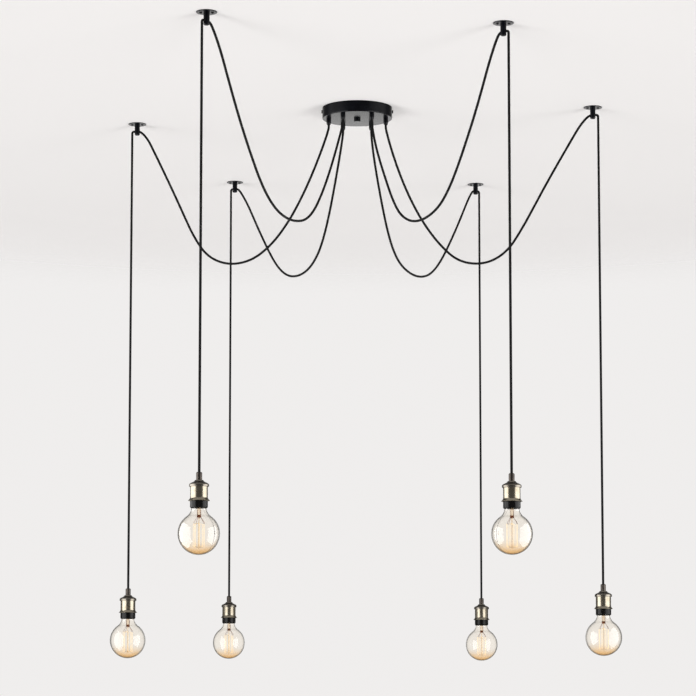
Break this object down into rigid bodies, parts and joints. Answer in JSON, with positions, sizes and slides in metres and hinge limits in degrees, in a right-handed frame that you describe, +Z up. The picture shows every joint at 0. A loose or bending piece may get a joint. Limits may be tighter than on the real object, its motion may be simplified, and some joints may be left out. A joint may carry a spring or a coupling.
{
  "type": "spider pendant light",
  "caption": "Spider pendant light: round ceiling canopy with cords that swag to ceiling hooks and drop to brass lampholders with clear globe bulbs, to light a room from several points.",
  "frame": {"origin": "centre of the canopy on the ceiling plane", "axes": "+Z up into the ceiling, +Y away from the viewer along the layout's long side, +X to the viewer's right"},
  "size_m": [1.3356, 2.0875, 1.467],
  "materials": {
    "black_paint": "gloss",
    "black_screw": "satin",
    "zinc_steel": "satin",
    "white_plastic": "matte",
    "wire_sleeve": "satin",
    "black_cord": "matte",
    "antique_brass": "satin",
    "black_insert": "gloss",
    "clear_glass": "gloss",
    "base_metal": "satin",
    "filament": "gloss"
  },
  "bodies": {
    "ceiling_set": {"canopy_shell": "black_paint", "mounting_bracket": "zinc_steel", "canopy_side_screws": "black_screw", "cord_grips": "black_paint", "cord_grip_nuts": "zinc_steel", "centre_cap": "black_paint", "terminal_block": "white_plastic", "inner_leads": "wire_sleeve", "hook_plates": "black_paint", "hook_posts": "black_paint", "hook_screws": "black_screw", "hook_clamp_screws": "black_screw", "swag_cord_1": "black_cord", "swag_cord_2": "black_cord", "swag_cord_3": "black_cord", "swag_cord_4": "black_cord", "swag_cord_5": "black_cord", "swag_cord_6": "black_cord"},
    "cord_turn_1": {"cord_bend_1": "black_cord"},
    "pendant_1": {"drop_cord_1": "black_cord", "lampholder_body_1": "antique_brass", "holder_insert_1": "black_insert"},
    "bulb_1": {"bulb_glass_1": "clear_glass", "bulb_base_1": "base_metal", "bulb_filament_1": "filament"},
    "cord_turn_2": {"cord_bend_2": "black_cord"},
    "pendant_2": {"drop_cord_2": "black_cord", "lampholder_body_2": "antique_brass", "holder_insert_2": "black_insert"},
    "bulb_2": {"bulb_glass_2": "clear_glass", "bulb_base_2": "base_metal", "bulb_filament_2": "filament"},
    "cord_turn_3": {"cord_bend_3": "black_cord"},
    "pendant_3": {"drop_cord_3": "black_cord", "lampholder_body_3": "antique_brass", "holder_insert_3": "black_insert"},
    "bulb_3": {"bulb_glass_3": "clear_glass", "bulb_base_3": "base_metal", "bulb_filament_3": "filament"},
    "cord_turn_4": {"cord_bend_4": "black_cord"},
    "pendant_4": {"drop_cord_4": "black_cord", "lampholder_body_4": "antique_brass", "holder_insert_4": "black_insert"},
    "bulb_4": {"bulb_glass_4": "clear_glass", "bulb_base_4": "base_metal", "bulb_filament_4": "filament"},
    "cord_turn_5": {"cord_bend_5": "black_cord"},
    "pendant_5": {"drop_cord_5": "black_cord", "lampholder_body_5": "antique_brass", "holder_insert_5": "black_insert"},
    "bulb_5": {"bulb_glass_5": "clear_glass", "bulb_base_5": "base_metal", "bulb_filament_5": "filament"},
    "cord_turn_6": {"cord_bend_6": "black_cord"},
    "pendant_6": {"drop_cord_6": "black_cord", "lampholder_body_6": "antique_brass", "holder_insert_6": "black_insert"},
    "bulb_6": {"bulb_glass_6": "clear_glass", "bulb_base_6": "base_metal", "bulb_filament_6": "filament"}
  },
  "joints": [
    {"name": "sway_1", "type": "hinge", "parent": "ceiling_set", "child": "cord_turn_1", "pos_m": [-0.346, -0.962, -0.0205], "axis": [-0.7071, -0.7071, 0], "range_deg": [-10, 10]},
    {"name": "swing_1", "type": "hinge", "parent": "cord_turn_1", "child": "pendant_1", "pos_m": [-0.3559, -0.9719, -0.0358], "axis": [0.7071, -0.7071, 0], "range_deg": [-10, 10]},
    {"name": "bulb_turn_1", "type": "hinge", "parent": "pendant_1", "child": "bulb_1", "pos_m": [-0.3559, -0.9719, -1.2], "axis": [0, 0, -1], "range_deg": [0, 900]},
    {"name": "sway_2", "type": "hinge", "parent": "ceiling_set", "child": "cord_turn_2", "pos_m": [0.333, -0.866, -0.0205], "axis": [0.8192, -0.5736, 0], "range_deg": [-10, 10]},
    {"name": "swing_2", "type": "hinge", "parent": "cord_turn_2", "child": "pendant_2", "pos_m": [0.34447, -0.87403, -0.0358], "axis": [0.5736, 0.8192, 0], "range_deg": [-10, 10]},
    {"name": "bulb_turn_2", "type": "hinge", "parent": "pendant_2", "child": "bulb_2", "pos_m": [0.34447, -0.87403, -1.2], "axis": [0, 0, -1], "range_deg": [0, 900]},
    {"name": "sway_3", "type": "hinge", "parent": "ceiling_set", "child": "cord_turn_3", "pos_m": [-0.594, 0.191, -0.0205], "axis": [-0.9703, 0.2419, 0], "range_deg": [-10, 10]},
    {"name": "swing_3", "type": "hinge", "parent": "cord_turn_3", "child": "pendant_3", "pos_m": [-0.60758, 0.19439, -0.0358], "axis": [-0.2419, -0.9703, 0], "range_deg": [-10, 10]},
    {"name": "bulb_turn_3", "type": "hinge", "parent": "pendant_3", "child": "bulb_3", "pos_m": [-0.60758, 0.19439, -1.2], "axis": [0, 0, -1], "range_deg": [0, 900]},
    {"name": "sway_4", "type": "hinge", "parent": "ceiling_set", "child": "cord_turn_4", "pos_m": [0.619, -0.009, -0.0205], "axis": [1, 0, 0], "range_deg": [-10, 10]},
    {"name": "swing_4", "type": "hinge", "parent": "cord_turn_4", "child": "pendant_4", "pos_m": [0.633, -0.009, -0.0358], "axis": [0, 1, 0], "range_deg": [-10, 10]},
    {"name": "bulb_turn_4", "type": "hinge", "parent": "pendant_4", "child": "bulb_4", "pos_m": [0.633, -0.009, -1.2], "axis": [0, 0, -1], "range_deg": [0, 900]},
    {"name": "sway_5", "type": "hinge", "parent": "ceiling_set", "child": "cord_turn_5", "pos_m": [-0.363, 0.981, -0.0205], "axis": [-0.848, 0.5299, 0], "range_deg": [-10, 10]},
    {"name": "swing_5", "type": "hinge", "parent": "cord_turn_5", "child": "pendant_5", "pos_m": [-0.37487, 0.98842, -0.0358], "axis": [-0.5299, -0.848, 0], "range_deg": [-10, 10]},
    {"name": "bulb_turn_5", "type": "hinge", "parent": "pendant_5", "child": "bulb_5", "pos_m": [-0.37487, 0.98842, -1.2], "axis": [0, 0, -1], "range_deg": [0, 900]},
    {"name": "sway_6", "type": "hinge", "parent": "ceiling_set", "child": "cord_turn_6", "pos_m": [0.361, 1.012, -0.0205], "axis": [0.788, 0.6157, 0], "range_deg": [-10, 10]},
    {"name": "swing_6", "type": "hinge", "parent": "cord_turn_6", "child": "pendant_6", "pos_m": [0.37203, 1.02062, -0.0358], "axis": [-0.6157, 0.788, 0], "range_deg": [-10, 10]},
    {"name": "bulb_turn_6", "type": "hinge", "parent": "pendant_6", "child": "bulb_6", "pos_m": [0.37203, 1.02062, -1.2], "axis": [0, 0, -1], "range_deg": [0, 900]}
  ]
}
